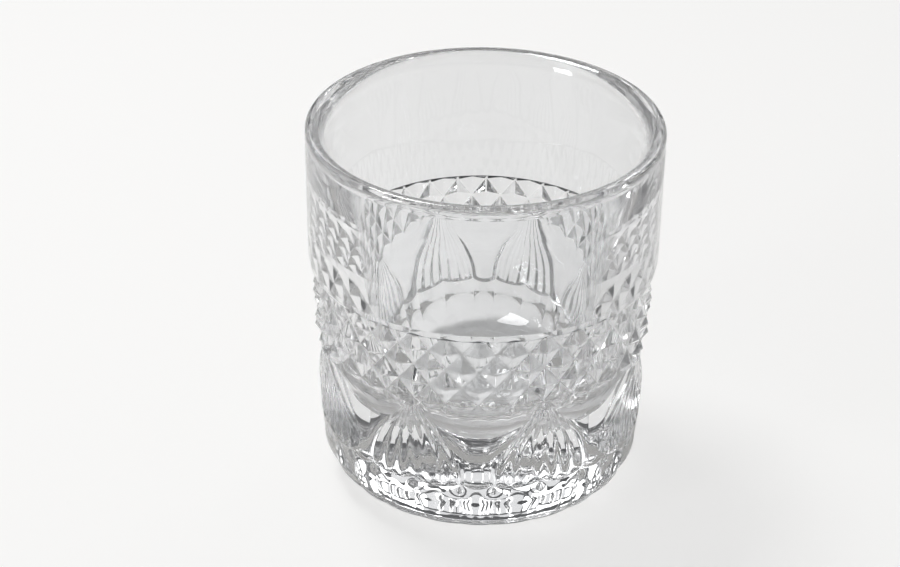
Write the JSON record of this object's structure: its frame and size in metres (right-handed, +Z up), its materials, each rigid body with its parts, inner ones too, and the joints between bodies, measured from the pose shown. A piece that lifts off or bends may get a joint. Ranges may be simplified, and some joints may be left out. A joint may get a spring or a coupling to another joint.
{
  "type": "tumbler",
  "caption": "Heavy-based drinking tumbler of clear pressed crystal: smooth upper wall, a band of point-cut diamonds, fans with scalloped ends and a rounded heel.",
  "frame": {"origin": "centre of the foot, on the plane that the glass rests on", "axes": "+Z up along the glass's axis to the rim; -Y to the front, where a gap between two fans lies; +X to the viewer's right"},
  "size_m": [0.082, 0.082, 0.09],
  "materials": {
    "glass": "clear colourless crystal, polished all over"
  },
  "bodies": {
    "root": {"tumbler_glass": "glass"}
  },
  "joints": []
}
